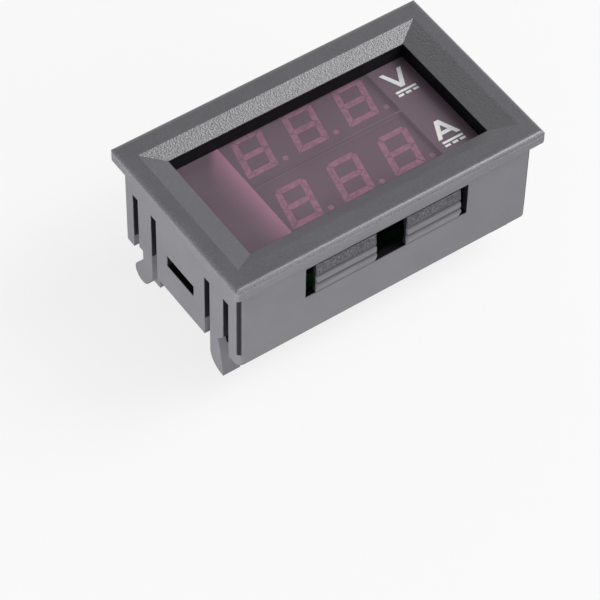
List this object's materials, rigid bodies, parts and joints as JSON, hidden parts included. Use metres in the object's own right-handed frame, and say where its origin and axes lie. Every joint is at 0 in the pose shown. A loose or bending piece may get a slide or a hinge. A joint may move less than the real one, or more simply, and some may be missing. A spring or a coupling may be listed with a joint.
{
  "type": "digital panel meter",
  "caption": "Snap-in rectangular panel meter with a bevelled frame, red filter, stacked digit displays, side spring flaps and rear hook latches.",
  "frame": {"origin": "centre of the bounding box's bottom face, in the plane that the four rear hooks rest on", "axes": "+X along the long side, to the right as the display is read; +Y up the display; +Z out of the display's face"},
  "size_m": [0.048, 0.029, 0.0222],
  "materials": {
    "housing": "fine-grained black moulded plastic",
    "red_filter": "smooth translucent dark red acrylic",
    "display_case": "grey printed face, smooth",
    "display_segments": "milky resin, unlit",
    "board": "green solder mask, satin",
    "solder": "bright solder",
    "tinned_metal": "tinned leads",
    "socket_nylon": "natural white nylon",
    "trimmer_case": "ceramic white",
    "screw_metal": "plated, satin",
    "chip_epoxy": "moulded epoxy, fine matt",
    "chip_resistor": "matt black film",
    "chip_capacitor": "tan ceramic"
  },
  "bodies": {
    "meter": {"housing": "housing", "filter_lens": "red_filter", "volts_display_case": "display_case", "volts_display_segments": "display_segments", "volts_display_pins": "tinned_metal", "amps_display_case": "display_case", "amps_display_segments": "display_segments", "amps_display_pins": "tinned_metal", "circuit_board": "board", "solder_joints": "solder", "supply_connector": "socket_nylon", "supply_connector_pins": "tinned_metal", "shunt_connector": "socket_nylon", "shunt_connector_pins": "tinned_metal", "volts_trimmer_case": "trimmer_case", "amps_trimmer_case": "trimmer_case", "controller_chip": "chip_epoxy", "controller_leads": "tinned_metal", "amplifier_chip": "chip_epoxy", "amplifier_leads": "tinned_metal", "voltage_regulator": "chip_epoxy", "regulator_leads": "tinned_metal", "supply_diode": "chip_epoxy", "diode_leads": "tinned_metal", "chip_resistors": "chip_resistor", "chip_capacitors": "chip_capacitor"},
    "volts_screw": {"volts_trimmer_screw": "screw_metal"},
    "amps_screw": {"amps_trimmer_screw": "screw_metal"}
  },
  "joints": [
    {"name": "volts_trim", "type": "hinge", "parent": "meter", "child": "volts_screw", "pos_m": [-0.0026, 0.0066, 0.006], "axis": [0, 0, -1], "range_deg": [-120, 120]},
    {"name": "amps_trim", "type": "hinge", "parent": "meter", "child": "amps_screw", "pos_m": [0.0044, 0.0066, 0.006], "axis": [0, 0, -1], "range_deg": [-120, 120]}
  ]
}
